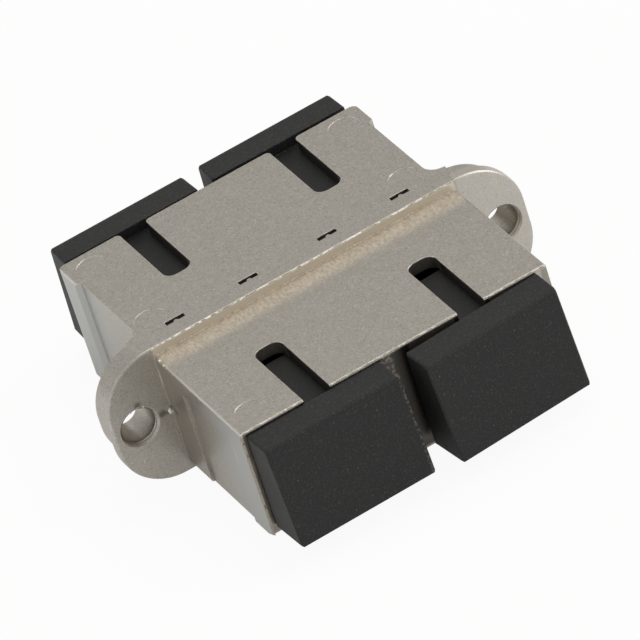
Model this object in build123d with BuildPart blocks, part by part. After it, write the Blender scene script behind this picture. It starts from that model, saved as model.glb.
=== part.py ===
from build123d import *
import os
from math import cos, radians, sin

# Two-port panel adapter for rectangular push-pull fibre plugs, in millimetres.
# Two plated die-cast halves meet at a flange. Each port holds two moulded latch
# inserts, and one slit sleeve lines up the ferrules of the two plugs that meet
# there. A loose dust plug closes each of the four mouths.
# The origin is the middle of the joint plane, where the two halves meet.
# X runs along the flange, Y through the ports with the front at -Y, Z is up.

FRONT, REAR = -1, 1
LEFT, RIGHT = -1, 1

# Ports, which take a standard plug
port_pitch = 12.7
port_width = 9.1
port_height = 7.5
port_lead_in = 0.25

# Body around the ports
side_wall = 1.7
top_wall = 1.0
half_length = 14.1
long_edge_round = 0.22
mouth_lip_round = 1.2
body_width = port_pitch + port_width + 2 * side_wall
body_height = port_height + 2 * top_wall

# Key slots in the top wall, open at the mouth
slot_width = 2.2
slot_length = 7.7
slot_corner = 0.8
rear_slot_mouth_round = 0.35

# Flange: a thin plate on the front half stands proud, a thick one on the rear half is flush
ear_reach = 4.7
flange_rise = 0.7
ear_corner = 4.3
front_plate = 1.05
rear_plate = 2.0
rear_ear_inset = 0.2
front_rim_bevel = 0.1
rear_rim_bevel = 0.25
joint_bevel = 0.15
flange_width = body_width + 2 * ear_reach
flange_height = body_height + 2 * flange_rise

# Screw holes in the ears
screw_spacing = 30.5
screw_hole = 2.8
screw_hole_bevel = 0.15

# Side walls of the rear half: a full-width collar at the mouth, set in behind it
collar_length = 3.0
collar_slope = 0.3
collar_corner = 0.5
rear_recess = 0.38
ear_root_round = 1.2

# Side walls of the front half: a shallow pocket below a plain top margin
front_pocket = 0.2
front_pocket_start = 4.5
front_pocket_margin = 1.6
front_pocket_corner = 0.6

# Windows in the rear half's top wall, each pinched by a peened spot
window_width = 1.55
window_depth = 0.45
window_start = 1.45
window_reach = 3.05
peen_radius = 0.19

# Witness marks of the ejector pins
pin_mark = 2.45
pin_mark_depth = 0.03
pin_mark_reach = 10.65
pin_mark_from_mouth = 1.9
pin_mark_from_joint = 3.1

# Latch insert: a plate seated at the joint, a sleeve holder and two hooked arms
insert_width = 10.3
insert_height = 8.3
insert_plate = 2.0
insert_corner = 0.6
insert_fit = 0.05
holder_diameter = 4.9
holder_reach = 7.0
holder_lip = 1.1
holder_mouth = 2.7
holder_lead_in = 0.35
holder_root_bevel = 0.35
arm_inside = 3.45
arm_thickness = 0.8
arm_width = 3.2
arm_reach = 8.7
hook_height = 0.55
hook_length = 1.5
hook_land = 0.3

# Room in the port walls for the arms to spread
arm_relief = 0.7
arm_relief_margin = 0.3

# Split alignment sleeve
sleeve_bore = 2.5
sleeve_wall = 0.35
sleeve_length = 11.4
sleeve_slit = 0.5
sleeve_play = 0.08

# Dust plug: a head outside the port and a hollow forked body inside it
head_width = 11.3
head_front_width = 11.05
head_height = 8.1
head_rise = 0.45
head_depth = 3.55
head_top_depth = 2.6
head_crown = 0.5
head_edge = 0.12
plug_width = 7.4
plug_height = 7.2
plug_length = 7.7
plug_corner = 0.4
plug_tip_bevel = 0.3
plug_bore = 6.2
plug_bore_depth = 6.0
plug_fork = 4.2
plug_fork_depth = 3.4

# How each dust plug happens to sit: drawn out, moved sideways and turned
front_left_out = 0.1
front_left_aside = -0.3
front_left_turn = 0.6
front_right_out = 0.4
front_right_aside = -0.5
front_right_turn = 3.6
rear_left_out = 0.55
rear_left_aside = 0.17
rear_left_turn = 0.0
rear_right_out = 0.72
rear_right_aside = 0.09
rear_right_turn = 0.0

pocket_width = insert_width + 2 * insert_fit
pocket_height = insert_height + 2 * insert_fit
pocket_depth = insert_plate + insert_fit
sleeve_diameter = sleeve_bore + 2 * sleeve_wall
holder_bore = sleeve_diameter + 2 * sleeve_play


def station(facing, distance):
    """A plane square to the ports, this far from the joint, looking out of its half."""
    return Plane(origin=(0, facing * distance, 0), x_dir=(-facing, 0, 0), z_dir=(0, facing, 0))


def cut_ports(facing):
    """The two ports of a half, the insert seats behind them and the room for the arms."""
    with BuildSketch(station(facing, 0)) as ports:
        with GridLocations(port_pitch, 0, 2, 1):
            Rectangle(port_width, port_height)
    extrude(ports.sketch, amount=half_length, mode=Mode.SUBTRACT)
    with BuildSketch(station(facing, 0)) as seats:
        with GridLocations(port_pitch, 0, 2, 1):
            RectangleRounded(pocket_width, pocket_height, insert_corner)
    extrude(seats.sketch, amount=pocket_depth, mode=Mode.SUBTRACT)
    with BuildSketch(station(facing, 0)) as reliefs:
        with GridLocations(port_pitch, 0, 2, 1):
            Rectangle(port_width + 2 * arm_relief, arm_width + 2 * arm_relief_margin)
    extrude(reliefs.sketch, amount=arm_reach + arm_relief_margin, mode=Mode.SUBTRACT)


def flare_mouths(facing):
    """The lead-in bevel round each mouth."""
    with BuildSketch(station(facing, half_length)) as wide:
        with GridLocations(port_pitch, 0, 2, 1):
            Rectangle(port_width + 2 * port_lead_in, port_height + 2 * port_lead_in)
    with BuildSketch(station(facing, half_length - port_lead_in)) as narrow:
        with GridLocations(port_pitch, 0, 2, 1):
            Rectangle(port_width, port_height)
    for outer, inner in zip(wide.sketch.faces().sort_by(Axis.X), narrow.sketch.faces().sort_by(Axis.X)):
        loft([inner, outer], mode=Mode.SUBTRACT)


def cut_key_slots(facing):
    """The slots in the top wall that a plug's key runs in."""
    with BuildSketch(Plane.XY) as slots:
        with Locations((0, facing * half_length)):
            with GridLocations(port_pitch, 0, 2, 1):
                RectangleRounded(slot_width, 2 * slot_length, slot_corner)
    extrude(slots.sketch, amount=body_height, mode=Mode.SUBTRACT)


def cut_screw_holes(facing, thickness):
    """The ears' screw holes, bevelled at the outer face."""
    with BuildSketch(station(facing, 0)) as holes:
        with GridLocations(screw_spacing, 0, 2, 1):
            Circle(screw_hole / 2)
    extrude(holes.sketch, amount=thickness, mode=Mode.SUBTRACT)
    with Locations(station(facing, thickness)):
        with GridLocations(screw_spacing, 0, 2, 1):
            Cone(
                bottom_radius=screw_hole / 2,
                top_radius=screw_hole / 2 + screw_hole_bevel,
                height=screw_hole_bevel,
                align=(Align.CENTER, Align.CENTER, Align.MAX),
                mode=Mode.SUBTRACT,
            )


def mark_pins(*places):
    """Shallow round marks on the top face, at these places."""
    with BuildSketch(Plane.XY.offset(body_height / 2 - pin_mark_depth)) as marks:
        with Locations(*places):
            Circle(pin_mark / 2)
    extrude(marks.sketch, amount=pin_mark_depth, mode=Mode.SUBTRACT)


# Front half: the thin flange plate and the plain body
with BuildPart() as front_housing:
    with BuildSketch(station(FRONT, 0)):
        RectangleRounded(flange_width, flange_height, ear_corner)
    extrude(amount=front_plate)
    chamfer(front_housing.edges().group_by(Axis.Y)[0], front_rim_bevel)
    chamfer(front_housing.edges().group_by(Axis.Y)[-1], joint_bevel)
    with BuildSketch(station(FRONT, 0)):
        Rectangle(body_width, body_height)
    extrude(amount=half_length)
    lip = front_housing.edges().filter_by(Axis.X).group_by(Axis.Y)[0].sort_by(Axis.Z)[0]
    fillet(lip, mouth_lip_round)
    long_edges = front_housing.edges().filter_by(Axis.Y).filter_by(lambda e: e.length > half_length / 2)
    fillet(long_edges.group_by(Axis.Z)[-1], long_edge_round)
    chamfer(long_edges.group_by(Axis.Z)[0], long_edge_round / 2)
    pocket_end = half_length - collar_length
    with BuildSketch(Plane.XZ.offset(front_pocket_start)) as pocket_section:
        with Locations((0, -front_pocket_margin)):
            Rectangle(body_width + 2 * front_pocket, body_height)
            RectangleRounded(
                body_width - 2 * front_pocket,
                body_height + 2 * front_pocket_margin + 2 * front_pocket_corner,
                front_pocket_corner,
                mode=Mode.SUBTRACT,
            )
    extrude(amount=pocket_end - front_pocket_start, mode=Mode.SUBTRACT)
    cut_ports(FRONT)
    flare_mouths(FRONT)
    cut_key_slots(FRONT)
    cut_screw_holes(FRONT, front_plate)
    mark_pins((-pin_mark_reach, pin_mark_from_mouth - half_length))
front_housing.part.label = "front_housing"

# Rear half: the thick flange plate, the collar and the set-in side walls
with BuildPart() as rear_housing:
    with BuildSketch(station(REAR, 0)):
        RectangleRounded(flange_width - 2 * rear_ear_inset, body_height, ear_corner)
    extrude(amount=rear_plate)
    chamfer(rear_housing.edges().group_by(Axis.Y)[-1], rear_rim_bevel)
    chamfer(rear_housing.edges().group_by(Axis.Y)[0], joint_bevel)
    wall_x = body_width / 2 - rear_recess
    with BuildSketch(Plane.XY.offset(-body_height / 2)):
        with Locations((0, half_length / 2)):
            Rectangle(2 * wall_x, half_length)
        Polygon(
            (-body_width / 2, half_length),
            (-body_width / 2, half_length - collar_length + collar_slope),
            (-wall_x, half_length - collar_length),
            (wall_x, half_length - collar_length),
            (body_width / 2, half_length - collar_length + collar_slope),
            (body_width / 2, half_length),
            align=None,
        )
        with Locations((0, (rear_plate + ear_root_round) / 2)):
            Rectangle(2 * (wall_x + ear_root_round), rear_plate + ear_root_round)
        with Locations((0, rear_plate + ear_root_round)):
            with GridLocations(2 * (wall_x + ear_root_round), 0, 2, 1):
                Circle(ear_root_round, mode=Mode.SUBTRACT)
    extrude(amount=body_height)
    fillet(rear_housing.edges().filter_by(Axis.Z).group_by(Axis.Y)[-1], collar_corner)
    cut_ports(REAR)
    flare_mouths(REAR)
    cut_key_slots(REAR)
    upright = rear_housing.edges().filter_by(Axis.Z)
    upright = upright.filter_by(lambda e: abs(e.length - top_wall) < 2 * port_lead_in)
    upright = upright.filter_by(lambda e: abs(e.center().X) < body_width / 2 - side_wall)
    fillet(upright.group_by(Axis.Y)[-1], rear_slot_mouth_round)
    cut_screw_holes(REAR, rear_plate)
    with BuildSketch(Plane.XY.offset(pocket_height / 2)):
        with Locations((0, window_start + window_depth / 2)):
            with GridLocations(port_pitch, 0, 2, 1):
                with GridLocations(2 * window_reach, 0, 2, 1):
                    Rectangle(window_width, window_depth)
        with Locations((0, window_start)):
            with GridLocations(port_pitch, 0, 2, 1):
                with GridLocations(2 * window_reach, 0, 2, 1):
                    Circle(peen_radius, mode=Mode.SUBTRACT)
    extrude(amount=flange_height, mode=Mode.SUBTRACT)
    for mark_x in (-pin_mark_reach, pin_mark_reach):
        mark_pins((mark_x, pin_mark_from_joint), (mark_x, half_length - pin_mark_from_mouth))
rear_housing.part.label = "rear_housing"

# Latch inserts, one behind each mouth
inserts = []
for end_name, facing in (("front", FRONT), ("rear", REAR)):
    for side_name, side in (("left", LEFT), ("right", RIGHT)):
        centre_x = side * port_pitch / 2
        with BuildPart() as insert:
            with BuildSketch(station(facing, 0)):
                with Locations((-facing * centre_x, 0)):
                    RectangleRounded(insert_width, insert_height, insert_corner)
            extrude(amount=insert_plate)
            with BuildSketch(station(facing, 0)):
                with Locations((-facing * centre_x, 0)):
                    Circle(holder_diameter / 2)
            extrude(amount=holder_reach)
            root = insert.edges().filter_by(GeomType.CIRCLE).filter_by(lambda e: e.radius > holder_diameter / 3)
            chamfer(root.sort_by(lambda e: abs(e.center().Y))[0], holder_root_bevel)
            with BuildSketch(station(facing, 0)):
                with Locations((-facing * centre_x, 0)):
                    Circle(holder_bore / 2)
            extrude(amount=holder_reach - holder_lip, mode=Mode.SUBTRACT)
            with BuildSketch(station(facing, 0)):
                with Locations((-facing * centre_x, 0)):
                    Circle(holder_mouth / 2)
            extrude(amount=holder_reach, mode=Mode.SUBTRACT)
            mouth = insert.edges().filter_by(GeomType.CIRCLE).group_by(Axis.Y)[0 if facing == FRONT else -1]
            chamfer(mouth.sort_by(SortBy.RADIUS)[0], holder_lead_in)
            for arm_side in (LEFT, RIGHT):
                inside = centre_x + arm_side * arm_inside
                outside = inside + arm_side * arm_thickness
                tip = inside - arm_side * hook_height
                with BuildSketch(Plane.XY):
                    Polygon(
                        (inside, facing * insert_plate / 2),
                        (outside, facing * insert_plate / 2),
                        (outside, facing * arm_reach),
                        (outside - arm_side * hook_land, facing * arm_reach),
                        (tip, facing * (arm_reach - hook_length + hook_land)),
                        (tip, facing * (arm_reach - hook_length)),
                        (inside, facing * (arm_reach - hook_length)),
                        align=None,
                    )
                extrude(amount=arm_width / 2, both=True)
        insert.part.label = f"{end_name}_{side_name}_insert"
        inserts.append(insert.part)

# Alignment sleeves, slit along one side so that they grip the ferrules
sleeves = []
for side_name, side in (("left", LEFT), ("right", RIGHT)):
    centre_x = side * port_pitch / 2
    with BuildPart() as sleeve:
        with BuildSketch(Plane.XZ):
            with Locations((centre_x, 0)):
                Circle(sleeve_diameter / 2)
                Circle(sleeve_bore / 2, mode=Mode.SUBTRACT)
            with Locations((centre_x, -sleeve_diameter / 2)):
                Rectangle(sleeve_slit, sleeve_diameter, mode=Mode.SUBTRACT)
        extrude(amount=sleeve_length / 2, both=True)
    sleeve.part.label = f"{side_name}_sleeve"
    sleeves.append(sleeve.part)

# Dust plugs, one in each mouth, each sitting a little askew in its loose fit
plug_seats = (
    ("front_left", FRONT, LEFT, front_left_out, front_left_aside, front_left_turn),
    ("front_right", FRONT, RIGHT, front_right_out, front_right_aside, front_right_turn),
    ("rear_left", REAR, LEFT, rear_left_out, rear_left_aside, rear_left_turn),
    ("rear_right", REAR, RIGHT, rear_right_out, rear_right_aside, rear_right_turn),
)
plugs = []
for place, facing, side, out, aside, turn in plug_seats:
    across = Vector(cos(radians(turn)), sin(radians(turn)), 0)
    outward = Vector(-sin(radians(turn)), cos(radians(turn)), 0) * facing
    middle = Vector(side * port_pitch / 2 + aside, facing * (half_length + out - plug_length / 2), 0)
    shoulder = middle + outward * (plug_length / 2)
    side_view = Plane(origin=shoulder, x_dir=outward, z_dir=outward.cross(Vector(0, 0, 1)))
    top_view = Plane(origin=shoulder, x_dir=across, z_dir=(0, 0, 1))
    inward_view = Plane(origin=shoulder, x_dir=across, z_dir=-outward)
    with BuildPart() as plug:
        with BuildSketch(top_view):
            Polygon(
                (-head_width / 2, 0),
                (head_width / 2, 0),
                (head_front_width / 2, facing * head_depth),
                (-head_front_width / 2, facing * head_depth),
                align=None,
            )
        extrude(amount=head_height, both=True)
        with BuildSketch(side_view) as profile:
            Polygon(
                (0, head_rise - head_height / 2),
                (head_depth, head_rise - head_height / 2),
                (head_top_depth, head_rise + head_height / 2),
                (0, head_rise + head_height / 2),
                align=None,
            )
            fillet(profile.vertices().group_by(Axis.Y)[-1].sort_by(Axis.X)[-1], head_crown)
        extrude(amount=head_width, both=True, mode=Mode.INTERSECT)
        flanks = plug.faces().sort_by(lambda f: (f.center() - shoulder).dot(across))
        chamfer(flanks[0].edges() + flanks[-1].edges(), head_edge)
        with BuildSketch(inward_view):
            RectangleRounded(plug_width, plug_height, plug_corner)
        extrude(amount=plug_length)
        tip = plug.faces().sort_by(lambda f: (f.center() - shoulder).dot(outward))[0]
        chamfer(tip.edges(), plug_tip_bevel)
        tongue_view = inward_view.offset(plug_length - plug_fork_depth)
        with BuildSketch(tongue_view):
            Rectangle(2 * plug_width, plug_fork)
        extrude(amount=plug_fork_depth, mode=Mode.SUBTRACT)
        with BuildSketch(inward_view.offset(plug_length - plug_bore_depth)):
            Circle(plug_bore / 2)
        extrude(amount=plug_bore_depth, mode=Mode.SUBTRACT)
    plug.part.label = f"{place}_dust_plug"
    plugs.append(plug.part)

os.makedirs("parts", exist_ok=True)
for piece in [front_housing.part, rear_housing.part, *inserts, *sleeves, *plugs]:
    export_step(piece, f"parts/{piece.label}.step")
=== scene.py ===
from math import atan2, pi, radians

import bmesh
import bpy
from mathutils import Matrix, Vector, noise


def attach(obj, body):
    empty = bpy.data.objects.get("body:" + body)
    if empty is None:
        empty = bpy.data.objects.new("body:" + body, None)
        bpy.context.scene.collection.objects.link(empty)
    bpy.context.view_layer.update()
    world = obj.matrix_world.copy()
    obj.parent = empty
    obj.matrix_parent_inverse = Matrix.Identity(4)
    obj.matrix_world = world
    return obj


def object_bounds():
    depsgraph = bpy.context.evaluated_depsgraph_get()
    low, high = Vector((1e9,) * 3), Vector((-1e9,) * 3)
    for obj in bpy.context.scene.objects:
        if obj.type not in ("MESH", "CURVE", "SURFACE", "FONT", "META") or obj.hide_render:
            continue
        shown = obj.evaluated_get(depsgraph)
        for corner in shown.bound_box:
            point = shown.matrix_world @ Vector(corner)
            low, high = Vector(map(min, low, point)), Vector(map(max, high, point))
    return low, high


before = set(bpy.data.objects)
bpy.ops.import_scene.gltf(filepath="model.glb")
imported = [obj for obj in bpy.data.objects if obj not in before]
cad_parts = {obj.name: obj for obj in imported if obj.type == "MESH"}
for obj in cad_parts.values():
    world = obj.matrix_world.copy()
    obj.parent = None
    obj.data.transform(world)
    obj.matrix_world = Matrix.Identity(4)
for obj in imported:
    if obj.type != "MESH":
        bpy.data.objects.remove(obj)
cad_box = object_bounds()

MM = 0.001

# Camera, a long lens far away, as the photograph was taken.
# The adapter lies square to the axes, so the camera is turned, raised and rolled about its line of sight.
camera_azimuth = radians(-18.316)
camera_elevation = radians(34.786)
camera_roll = radians(-18.518)
camera_distance = 614.29 * MM
camera_aim = Vector((0.126, -0.376, 0)) * MM
lens_length = 487.65
turn = (
    Matrix.Rotation(camera_azimuth, 4, "Z")
    @ Matrix.Rotation(pi / 2 - camera_elevation, 4, "X")
    @ Matrix.Rotation(camera_roll, 4, "Z")
)
lens = bpy.data.cameras.new("lens")
lens.lens = lens_length
camera = bpy.data.objects.new("camera", lens)
camera.matrix_world = Matrix.Translation(camera_aim) @ turn @ Matrix.Translation((0, 0, camera_distance))
bpy.context.scene.collection.objects.link(camera)
bpy.context.scene.camera = camera
bpy.context.scene.view_settings.view_transform = "Standard"


# Floor and light of a small product shot: a white sheet under the adapter and broad soft light.
# The camera sees the sheet as plain white with a faint shadow, and so does the plated metal.
# From below the sheet is clear, so that it never hides the adapter's underside.
class Signal:
    """A shader output, so that the masks of a finish read as plain sums and products."""

    def __init__(self, finish, socket):
        self.finish = finish
        self.socket = socket

    def math(self, operation, first, second):
        return self.finish.add("ShaderNodeMath", {"operation": operation}, {0: first, 1: second})

    def __add__(self, other):
        return self.math("ADD", self, other)

    def __sub__(self, other):
        return self.math("SUBTRACT", self, other)

    def __rsub__(self, other):
        return self.math("SUBTRACT", other, self)

    def __mul__(self, other):
        return self.math("MULTIPLY", self, other)

    def __abs__(self):
        return self.finish.add("ShaderNodeMath", {"operation": "ABSOLUTE"}, {0: self})

    def most(self, other):
        return self.math("MAXIMUM", self, other)

    __radd__ = __add__
    __rmul__ = __mul__


class Finish:
    """A surface finish being mixed: its material, and one method that adds any node."""

    def __init__(self, name):
        self.material = bpy.data.materials.new(name)
        self.material.use_nodes = True
        self.nodes = self.material.node_tree.nodes
        self.nodes.clear()
        place = self.add("ShaderNodeTexCoord", output="Object")
        self.place = self.add("ShaderNodeVectorMath", {"operation": "SCALE"}, {0: place, "Scale": 1 / MM})

    def add(self, kind, settings=None, inputs=None, output=0):
        node = self.nodes.new(kind)
        for name, value in (settings or {}).items():
            setattr(node, name, value)
        for name, value in (inputs or {}).items():
            if isinstance(value, Signal):
                self.material.node_tree.links.new(value.socket, node.inputs[name])
            else:
                node.inputs[name].default_value = value
        return Signal(self, node.outputs[output])

    def axes(self):
        """The place on the object in millimetres, along x, y and z."""
        split = self.nodes.new("ShaderNodeSeparateXYZ")
        self.material.node_tree.links.new(self.place.socket, split.inputs[0])
        return [Signal(self, along) for along in split.outputs]

    def stretched(self, x, y, z):
        """The place on the object in millimetres, scaled along each axis."""
        return self.add("ShaderNodeVectorMath", {"operation": "MULTIPLY"}, {0: self.place, 1: (x, y, z)})

    def grain(self, size, detail=2.0, place=None):
        """Cloudy noise from 0 to 1 with lumps of this size in millimetres."""
        values = {"Vector": place or self.place, "Scale": 1 / size, "Detail": detail}
        return self.add("ShaderNodeTexNoise", None, values)

    def ramp(self, value, low, high):
        """0 below low, 1 above high and smooth between."""
        settings = {"interpolation_type": "SMOOTHSTEP", "clamp": True}
        return self.add("ShaderNodeMapRange", settings, {"Value": value, "From Min": low, "From Max": high})

    def band(self, value, low, high, edge):
        """1 where a value lies between two others, with soft edges."""
        return self.ramp(value, low - edge, low + edge) * (1 - self.ramp(value, high - edge, high + edge))

    def blend(self, amount, first, second):
        """A colour between two others. A Mix node has them on its sockets 6 and 7, and the result on 2."""
        return self.add("ShaderNodeMix", {"data_type": "RGBA"}, {0: amount, 6: first, 7: second}, output=2)

    def rounded(self, radius):
        """The normals as if each edge had this radius in millimetres, and a mask that finds the edges."""
        bevel = self.add("ShaderNodeBevel", {"samples": 4}, {"Radius": radius * MM})
        flat = self.add("ShaderNodeNewGeometry", output="Normal")
        values = {0: bevel, 1: flat}
        match = self.add("ShaderNodeVectorMath", {"operation": "DOT_PRODUCT"}, values, output="Value")
        return bevel, 1 - match

    def bump(self, strength, depth, height, **normal):
        """Normals pushed about by a height, as deep as this in millimetres."""
        values = {"Strength": strength, "Distance": depth * MM, "Height": height, **normal}
        return self.add("ShaderNodeBump", None, values)

    def output(self, shader):
        out = self.nodes.new("ShaderNodeOutputMaterial")
        self.material.node_tree.links.new(shader.socket, out.inputs["Surface"])
        return self.material

    def coat(self, values):
        """The material with this colour, roughness and so on."""
        return self.output(self.add("ShaderNodeBsdfPrincipled", None, values))


floor_height = cad_box[0].z - 0.01 * MM
floor_reach = 3.0
shadow_share = 0.07
mirror_share = 0.3
sheet = bmesh.new()
bmesh.ops.create_grid(sheet, x_segments=1, y_segments=1, size=floor_reach)
bmesh.ops.translate(sheet, verts=sheet.verts, vec=(0, 0, floor_height))
sheet_mesh = bpy.data.meshes.new("white_sheet")
sheet.to_mesh(sheet_mesh)
white_sheet = bpy.data.objects.new("white_sheet", sheet_mesh)
bpy.context.scene.collection.objects.link(white_sheet)
paper = Finish("paper")
paper_matte = paper.add("ShaderNodeBsdfDiffuse", None, {"Color": (0.86, 0.86, 0.85, 1)})
paper_white = paper.add("ShaderNodeEmission", None, {"Color": (1, 1, 1, 1), "Strength": 1.0})
camera_ray = paper.add("ShaderNodeLightPath", output="Is Camera Ray")
glossy_ray = paper.add("ShaderNodeLightPath", output="Is Glossy Ray")
clear_ray = paper.add("ShaderNodeLightPath", output="Is Transmission Ray")
paper_share = (camera_ray * (1 - shadow_share)).most(glossy_ray.most(clear_ray) * mirror_share)
paper_front = paper.add("ShaderNodeMixShader", None, {0: paper_share, 1: paper_matte, 2: paper_white})
paper_back = paper.add("ShaderNodeBsdfTransparent")
underside = paper.add("ShaderNodeNewGeometry", output="Backfacing")
white_sheet.data.materials.append(
    paper.output(paper.add("ShaderNodeMixShader", None, {0: underside, 1: paper_front, 2: paper_back}))
)

world = bpy.data.worlds.new("studio")
bpy.context.scene.world = world
world.use_nodes = True
world_tree = world.node_tree
world_light = world_tree.nodes["Background"]
world_light.inputs["Color"].default_value = (1, 0.985, 0.955, 1)
world_light.inputs["Strength"].default_value = 0.6
world_white = world_tree.nodes.new("ShaderNodeBackground")
world_path = world_tree.nodes.new("ShaderNodeLightPath")
world_choice = world_tree.nodes.new("ShaderNodeMixShader")
world_tree.links.new(world_path.outputs["Is Camera Ray"], world_choice.inputs[0])
world_tree.links.new(world_light.outputs[0], world_choice.inputs[1])
world_tree.links.new(world_white.outputs[0], world_choice.inputs[2])
world_tree.links.new(world_choice.outputs[0], world_tree.nodes["World Output"].inputs[0])


def soft_box(name, azimuth, elevation, distance, size, power, colour):
    """A square lamp that faces the adapter."""
    lamp = bpy.data.lights.new(name, "AREA")
    lamp.size = size
    lamp.energy = power
    lamp.color = colour
    box = bpy.data.objects.new(name, lamp)
    tilt = Matrix.Rotation(pi / 2 - radians(elevation), 4, "X")
    box.matrix_world = Matrix.Rotation(radians(azimuth), 4, "Z") @ tilt @ Matrix.Translation((0, 0, distance))
    bpy.context.scene.collection.objects.link(box)


soft_box("key_light", 140, 72, 0.6, 0.3, 0.5, (1.0, 0.98, 0.94))
soft_box("left_fill", -95, 25, 0.5, 0.4, 0.3, (0.93, 0.97, 1.0))
soft_box("right_fill", 70, 30, 0.6, 0.5, 1.5, (1.0, 0.99, 0.97))


# Housing halves: zinc die castings, nickel plated to a satin grain and staked together at the flange.
# The plating is warm on the flat top, rough where the flange was dressed, and bright on worn edges.
# Sizes are in millimetres, and a dark spot has its place and its reach.
# Painted reflections in the plating: a cool one on the side walls and a lighter one on the front right ear.
# Painted shade in the plating: in the key slots, on the web and on the front side walls next to the flange.
nickel_warm = (0.47, 0.44, 0.395, 1)
nickel_cool = (0.51, 0.49, 0.455, 1)
nickel_gold = (0.67, 0.595, 0.485, 1)
nickel_cool_reflection = (0.46, 0.463, 0.45, 1)
nickel_wear_and_sheen = (0.86, 0.83, 0.77, 1)
nickel_dirt_and_shade = (0.30, 0.26, 0.21, 1)
nickel_painted_shade = (0.085, 0.078, 0.066, 1)
nickel_dark_smudge = (0.17, 0.16, 0.145, 1)
body_top = 4.75
body_side = 12.6
ridge_top = 5.45
flange_front = -1.05
dressed_width = 2.0
mouth_start = 14.0
slot_inner, slot_outer, slot_start, slot_floor = 4.9, 7.8, 7.4, 2.8
web_half, web_start, web_foot = 0.95, 13.2, -4.3
dark_spots = (
    ((-13.4, -1.05, 0.05), 0.6),
    ((-12.6, -1.75, 0.2), 0.7),
    ((-14.9, -1.05, 1.75), 0.5),
    ((-13.0, -1.05, -0.05), 0.4),
    ((-12.5, -13.95, 4.75), 0.3),
)


def cast_grain(plating):
    """Colour, roughness and height of the plated casting before any wear; the sides get a painted reflection.
    """
    x, y, z = plating.axes()
    clouds = plating.grain(0.45, 4)
    specks = plating.grain(0.12, 2)
    glints = plating.grain(0.13, 2, plating.stretched(1, 1, -1))
    colour = plating.blend(plating.ramp(clouds, 0.3, 0.7) * 0.6, nickel_warm, nickel_cool)
    colour = plating.blend(plating.ramp(specks, 0.52, 0.74) * 0.75, colour, nickel_dirt_and_shade)
    colour = plating.blend(plating.ramp(glints, 0.55, 0.75) * 0.42, colour, nickel_wear_and_sheen)
    # Painted reflection: the side walls turn cooler towards both ends, away from the flange.
    side_reflection = plating.ramp(abs(x), body_side - 0.6, body_side - 0.5) * plating.ramp(abs(y), 5.5, 11.5)
    colour = plating.blend(side_reflection * plating.ramp(body_top - z, 0.1, 0.3), colour, nickel_cool_reflection)
    rough = 0.31 + 0.04 * clouds + 0.06 * specks
    height = 0.8 * plating.grain(0.09, 1) + 0.8 * specks
    return colour, rough, height


def dressed_strip(plating, colour, rough, height):
    """The strip of the front half that was ground and dressed beside the flange, up to the ridge."""
    x, y, z = plating.axes()
    ragged = plating.grain(0.3, 3, plating.stretched(1, 0.2, 0.2))
    strip = plating.ramp(y + 0.7 * ragged, flange_front - dressed_width, flange_front - 0.4 * dressed_width)
    strip = strip * plating.band(z, body_top - 0.2, ridge_top - 0.06, 0.04)
    strip = strip * (1 - plating.ramp(abs(x), body_side - 0.15, body_side + 0.1))
    risen = plating.ramp(z, body_top + 0.05, body_top + 0.15)
    ground = strip * (1 - risen)
    streaks = plating.ramp(plating.grain(0.14, 3, plating.stretched(1, 0.4, 0.4)), 0.3, 0.7)
    colour = plating.blend(strip * (0.65 + 0.3 * streaks), colour, nickel_gold)
    colour = plating.blend(ground * plating.ramp(streaks, 0.5, 1) * 0.22, colour, nickel_wear_and_sheen)
    colour = plating.blend(ground * (1 - plating.ramp(streaks, 0, 0.5)) * 0.22, colour, nickel_dirt_and_shade)
    colour = plating.blend(strip * risen * 0.45, colour, nickel_wear_and_sheen)
    return colour, rough + strip * 0.1, height + ground * streaks * 2


def front_dirt_and_painted_light(plating, colour):
    """Painted shade on the front side walls by the flange, dirt at their mouth end, dark smudges round the
    left ear, a painted reflection on the right ear, and long scratches.
    """
    x, y, z = plating.axes()
    below = plating.ramp(body_top - z, 0.1, 0.3)
    wall = plating.band(abs(x), body_side - 0.55, body_side + 0.06, 0.05) * below
    # Painted shade: the side walls darken next to the flange and fade out towards the mouth.
    colour = plating.blend(wall * (1 - plating.ramp(abs(y), 3, 10)) * 0.3, colour, nickel_dirt_and_shade)
    mouth = plating.ramp(abs(y) + 0.6 * plating.grain(0.5, 4), mouth_start, mouth_start + 0.35)
    colour = plating.blend(wall * mouth * 0.75, colour, nickel_dirt_and_shade)
    # Painted reflection: the right ear is made lighter, as it mirrors the bright sheet in front of it.
    colour = plating.blend(plating.ramp(x, body_side + 0.05, body_side + 0.3) * 0.2, colour, nickel_wear_and_sheen)
    # Dark smudges at the left ear's corner with the wall, above its hole, and at the mouth's top left corner.
    for spot, reach in dark_spots:
        away = {0: plating.place, 1: spot}
        distance = plating.add("ShaderNodeVectorMath", {"operation": "DISTANCE"}, away, output="Value")
        dark_smudge = 1 - plating.ramp(distance + 0.25 * plating.grain(0.3, 3), 0.4 * reach, reach)
        colour = plating.blend(dark_smudge * 0.85, colour, nickel_dark_smudge)
    lines = plating.grain(0.3, 3, plating.stretched(1, 0.9, 0.06))
    outside = plating.ramp(abs(x), body_side - 0.6, body_side - 0.5)
    return plating.blend(plating.ramp(lines, 0.66, 0.72) * outside * below * 0.5, colour, nickel_wear_and_sheen)


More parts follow.
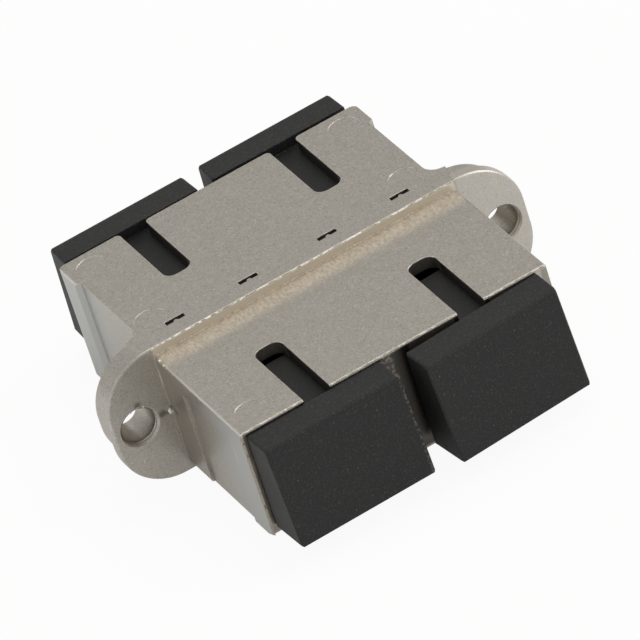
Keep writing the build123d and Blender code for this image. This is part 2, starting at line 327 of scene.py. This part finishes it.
def painted_hollow_shade(plating, colour):
    """Painted shade: the walls of the key slots and the gritty web between two mouths, darkened towards
    near-black.
    """
    x, y, z = plating.axes()
    slot = plating.band(abs(x), slot_inner, slot_outer, 0.05) * plating.ramp(z, slot_floor, slot_floor + 0.2)
    slot = slot * plating.ramp(abs(y), slot_start, slot_start + 0.4)
    web = 1 - plating.ramp(abs(x), web_half, web_half + 0.25)
    web = web * plating.ramp(abs(y), web_start, web_start + 0.4) * plating.ramp(z, web_foot, web_foot + 0.4)
    crumbs = plating.ramp(plating.grain(0.2, 3), 0.42, 0.58)
    crumbs = crumbs * (1 - plating.ramp(x, -0.55, -0.05)) * (1 - plating.ramp(y, -1, 1))
    # Painted shade: the sunk places blend nine tenths of the way to near-black, less at the web's dust
    # specks.
    sunk = plating.ramp(body_top - z, 0.08, 0.3) * (slot + web * (1 - 0.45 * crumbs))
    return plating.blend(sunk * 0.9, colour, nickel_painted_shade)


def worn_edges(plating, colour, edges):
    """Bright metal on the edges, least on the side walls and most along the left edge of the top."""
    x, y, z = plating.axes()
    worn = plating.ramp(edges, 0.02, 0.16) * plating.ramp(plating.grain(0.5, 3), 0.3, 0.6)
    worn = worn * (0.3 + 0.7 * plating.ramp(z, body_top - 0.6, body_top - 0.3))
    walls = plating.band(abs(x), body_side - 0.6, body_side + 0.05, 0.05)
    worn = worn * (1 - walls * plating.ramp(body_top - z, 0.3, 0.5))
    worn = worn * (1 - 0.8 * plating.band(x, body_side - 0.4, body_side + 0.1, 0.05))
    left_edge = plating.ramp(-1 * x, body_side - 0.17, body_side - 0.08) * plating.ramp(abs(y), 2.2, 2.5)
    left_edge = left_edge * plating.ramp(z, body_top - 0.17, body_top - 0.08)
    return plating.blend(worn.most(0.7 * left_edge), colour, nickel_wear_and_sheen)


def nickel_plating(name, front):
    """The finish of one housing half. Only the front one was dressed, and it was handled more; it also
    carries painted shade and a painted reflection.
    """
    plating = Finish(name)
    colour, rough, height = cast_grain(plating)
    if front:
        colour, rough, height = dressed_strip(plating, colour, rough, height)
        colour = front_dirt_and_painted_light(plating, colour)
    # Painted shade in the key slots and on the web, on both halves.
    colour = painted_hollow_shade(plating, colour)
    normals, edges = plating.rounded(0.11)
    colour = worn_edges(plating, colour, edges)
    bump = plating.bump(0.35, 0.012, height, Normal=normals)
    return plating.coat({"Base Color": colour, "Metallic": 1.0, "Roughness": rough, "Normal": bump})


def refinish(node, material):
    """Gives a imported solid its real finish."""
    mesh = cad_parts[node].data
    mesh.materials.clear()
    mesh.materials.append(material)


rear_plating = nickel_plating("rear_plating", False)
refinish("front_housing", nickel_plating("front_plating", True))
refinish("rear_housing", rear_plating)


# Burrs left by casting and dressing: ragged bright edges along the ridge, the mouth and the long top edge.
# Each is a slim three-sided bar laid over its edge, with bright dashes and beads along it.
# The one down the left side of the mouth is dull with dirt.
bright = Finish("bright_flash")
bright_y, bright_z = bright.axes()[1:]
bright_spots = bright.ramp(bright.grain(0.35, 3), 0.42, 0.6)
bright_colour = bright.blend(bright_spots, (0.46, 0.42, 0.35, 1), (0.93, 0.90, 0.84, 1))
bright_dull = (1 - bright.ramp(bright_y, -13.9, -13.6)) * (1 - bright.ramp(bright_z, 4.3, 4.6))
bright_colour = bright.blend(bright_dull * 0.8, bright_colour, (0.33, 0.27, 0.20, 1))
bright_flash = bright.coat(
    {"Base Color": bright_colour, "Metallic": 1.0, "Roughness": 0.3 + 0.15 * bright_spots}
)


def fit(name, form, material):
    """Makes a form into a new piece of the housing, and gives back its mesh."""
    mesh = bpy.data.meshes.new(name)
    form.to_mesh(mesh)
    mesh.materials.append(material)
    piece = bpy.data.objects.new(name, mesh)
    bpy.context.scene.collection.objects.link(piece)
    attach(piece, "housing")
    return mesh


burr_step = 0.04
burr_least = 0.03


def burr_line(name, start, end, first, second, swell, chips):
    """A bar laid over an edge, from one face to the other, that swells at random and at the chips."""
    start, end, first, second = Vector(start), Vector(end), Vector(first), Vector(second)
    length = (end - start).length
    burr = bmesh.new()
    bmesh.ops.create_cone(burr, cap_ends=True, segments=3, radius1=1, radius2=1, depth=1)
    long_sides = [side for side in burr.edges if abs(side.verts[0].co.z - side.verts[1].co.z) > 0.5]
    bmesh.ops.subdivide_edges(burr, edges=long_sides, cuts=int(length / burr_step), use_grid_fill=True)
    for point in burr.verts:
        share = point.co.z + 0.5
        place = start.lerp(end, share)
        lift = swell * (0.8 * noise.noise(place * 2.7) + 0.6 * noise.noise(place * 9)) + burr_least
        for chip, reach in chips:
            lift += max(0, 1 - abs(length * share - chip) / reach) ** 0.5
        lift = min(max(lift, burr_least), 1)
        corner = round(atan2(point.co.x, point.co.y) / (2 * pi / 3)) % 3
        fold = (first, (first + second) * (0.5 - 0.5 * lift), second)[corner]
        point.co = (place + fold) * MM
    bmesh.ops.recalc_face_normals(burr, faces=burr.faces)
    fit(name, burr, bright_flash)


ridge_chips = (
    (0.07, 0.10), (0.55, 0.16), (1.4, 0.08), (2.3, 0.1), (3.76, 0.28), (5.22, 0.3), (6.28, 0.32),
    (8.12, 0.35), (9.27, 0.4), (12.27, 0.25), (13.13, 0.1), (16.18, 0.12), (18.85, 0.14), (21.7, 0.2),
    (23.5, 0.4),
)
burr_line(
    "ridge_burr", (-12.62, -1.05, 5.449), (12.62, -1.05, 5.449),
    (0, 0.07, 0.001), (0, -0.001, -0.07), 0.7, ridge_chips,
)
burr_line(
    "ridge_end_burr", (-12.575, -1.065, 4.72), (-12.575, -1.065, 5.4),
    (-0.045, 0.02, 0), (0.045, 0.02, 0), 0.9, ((0.2, 0.15), (0.6, 0.12)),
)
burr_line(
    "left_edge_burr", (-12.6, -14.0, 4.75), (-12.6, -1.1, 4.75),
    (0.18, 0, 0.001), (-0.001, 0, -0.18), 0.35, ((11.2, 0.1), (11.6, 0.09), (12.3, 0.2)),
)
side_chips = ((0.6, 0.2), (1.7, 0.25), (2.9, 0.15), (3.6, 0.3), (5.0, 0.2), (6.3, 0.35), (7.6, 0.2))
burr_line(
    "left_mouth_burr", (-12.6, -14.1, 4.6), (-12.6, -14.1, -4.3),
    (-0.012, 0.16, 0), (0.12, -0.004, 0), 0.9, side_chips,
)
mouth_chips = ((0.3, 0.15), (2.2, 0.1), (3.4, 0.2), (4.9, 0.25))
for part, left, right in (("left", -12.4, -7.5), ("middle", -5.2, 5.2), ("right", 7.5, 12.4)):
    burr_line(
        f"mouth_burr_{part}", (left, -14.1, 4.75), (right, -14.1, 4.75),
        (0, 0.035, 0.006), (0, -0.006, -0.035), 0.5, mouth_chips,
    )


# Beads of metal: a bright chip in the corner of the left ear, crumbs over its hole, and two at the mouth.
# They are drops of flash that the trimming left behind.
beads = (
    ("ear_chip", (-12.72, -1.12, 0.02), (0.22, 0.09, 0.26)),
    ("hole_crumb_a", (-15.6, -1.07, 1.5), (0.1, 0.05, 0.07)),
    ("hole_crumb_b", (-15.0, -1.07, 1.56), (0.14, 0.06, 0.08)),
    ("hole_crumb_c", (-14.5, -1.07, 1.42), (0.12, 0.05, 0.07)),
    ("corner_bead", (-12.45, -14.08, 4.72), (0.09, 0.05, 0.07)),
    ("slot_bead", (-5.2, -14.08, 4.73), (0.1, 0.04, 0.05)),
)
for name, place, size in beads:
    bead = bmesh.new()
    bmesh.ops.create_icosphere(bead, subdivisions=3, radius=1)
    for point in bead.verts:
        point.co *= 1 + 0.3 * noise.noise(point.co * 1.7 + Vector(place))
    bmesh.ops.scale(bead, verts=bead.verts, vec=Vector(size) * MM)
    bmesh.ops.translate(bead, verts=bead.verts, vec=Vector(place) * MM)
    fit(name, bead, bright_flash)


# Draft of the screw holes: they narrow towards the back, as cast holes do.
# Each is a slim plated ring inside the hole, with its thick end at the back.
hole_middle = 15.25
hole_radius = 1.402
draft_start = -0.86
draft_end = 1.84
draft_depth = 0.26
draft_corners = ((hole_radius, draft_start), (hole_radius, draft_end), (hole_radius - draft_depth, draft_end))
for side, name in ((-1, "left_hole_draft"), (1, "right_hole_draft")):
    middle = Vector((side * hole_middle, 0, 0)) * MM
    draft = bmesh.new()
    section = [draft.verts.new(middle + Vector((radius, along, 0)) * MM) for radius, along in draft_corners]
    outline = [draft.edges.new((section[i - 1], section[i])) for i in range(len(section))]
    bmesh.ops.spin(
        draft, geom=section + outline, cent=middle, axis=(0, 1, 0), angle=2 * pi, steps=96, use_merge=True
    )
    bmesh.ops.recalc_face_normals(draft, faces=draft.faces)
    draft_mesh = fit(name, draft, rear_plating)
    draft_mesh.shade_smooth()
    draft_mesh.set_sharp_from_angle(angle=radians(30))


# Latch inserts: black mouldings behind each mouth, with a plate, two hooked arms and half the sleeve holder.
# They show only once a dust plug is pulled out.
moulding = Finish("black_moulding")
moulding_clouds = moulding.grain(1.5, 3)
black_moulding = moulding.coat(
    {
        "Base Color": moulding.blend(moulding_clouds, (0.016, 0.016, 0.017, 1), (0.026, 0.026, 0.028, 1)),
        "Roughness": 0.36 + 0.12 * moulding_clouds,
        "Normal": moulding.bump(0.25, 0.01, moulding.grain(0.12, 2)),
    }
)
for end in ("front", "rear"):
    for side in ("left", "right"):
        refinish(f"{end}_{side}_insert", black_moulding)


# Alignment sleeves: slit tubes of drawn bronze that grip the ferrules of the two plugs.
# Drawing leaves fine lines along the tube.
bronze = Finish("drawn_bronze")
bronze_lines = bronze.grain(0.08, 2, bronze.stretched(1, 0.03, 1))
drawn_bronze = bronze.coat(
    {
        "Base Color": bronze.blend(bronze_lines, (0.60, 0.36, 0.18, 1), (0.74, 0.49, 0.28, 1)),
        "Metallic": 1.0,
        "Roughness": 0.2 + 0.15 * bronze_lines,
        "Normal": bronze.bump(0.2, 0.005, bronze_lines),
    }
)
for side in ("left", "right"):
    refinish(f"{side}_sleeve", drawn_bronze)


# Dust plugs: soft black mouldings with a plain head and a hollow body, pushed loosely into each mouth.
# Handling leaves the matte skin faintly mottled, and the edges rub a little lighter.
# Dust has gathered on the front left plug, in the gap between the two front heads.
soft = Finish("soft_black")
soft_x, soft_y = soft.axes()[:2]
soft_clouds = soft.grain(1.8, 4)
soft_colour = soft.blend(soft_clouds, (0.008, 0.008, 0.0085, 1), (0.013, 0.013, 0.014, 1))
soft_dust = soft.ramp(soft.grain(0.35, 3), 0.6, 0.8)
soft_colour = soft.blend(soft_dust * 0.2, soft_colour, (0.075, 0.073, 0.07, 1))
soft_grains = soft.ramp(soft.grain(0.12, 2), 0.52, 0.72)
soft_colour = soft.blend(soft_grains * 0.65, soft_colour, (0.045, 0.045, 0.044, 1))
soft_specks = soft.ramp(soft.grain(0.2, 1), 0.76, 0.8)
soft_colour = soft.blend(soft_specks * 0.6, soft_colour, (0.16, 0.155, 0.15, 1))
soft_normals, soft_edges = soft.rounded(0.15)
soft_rubbed = soft.ramp(soft_edges, 0.03, 0.2) * soft.ramp(soft.grain(0.3, 4), 0.48, 0.66)
soft_colour = soft.blend(soft_rubbed * 0.6, soft_colour, (0.15, 0.14, 0.12, 1))
soft_gap = soft.band(soft_x, -1.3, -0.5, 0.1) * (1 - soft.ramp(soft_y, -1, 1))
soft_gap = soft_gap * soft.ramp(soft.grain(0.22, 3), 0.45, 0.6)
soft_colour = soft.blend(soft_gap * 0.6, soft_colour, (0.15, 0.14, 0.11, 1))
soft_black = soft.coat(
    {
        "Base Color": soft_colour,
        "Roughness": 0.5 + 0.14 * soft_clouds,
        "Specular IOR Level": 0.4,
        "Normal": soft.bump(0.3, 0.02, soft.grain(0.14, 2) + 0.6 * soft.grain(0.9, 2), Normal=soft_normals),
    }
)
for end in ("front", "rear"):
    for side in ("left", "right"):
        refinish(f"{end}_{side}_dust_plug", soft_black)
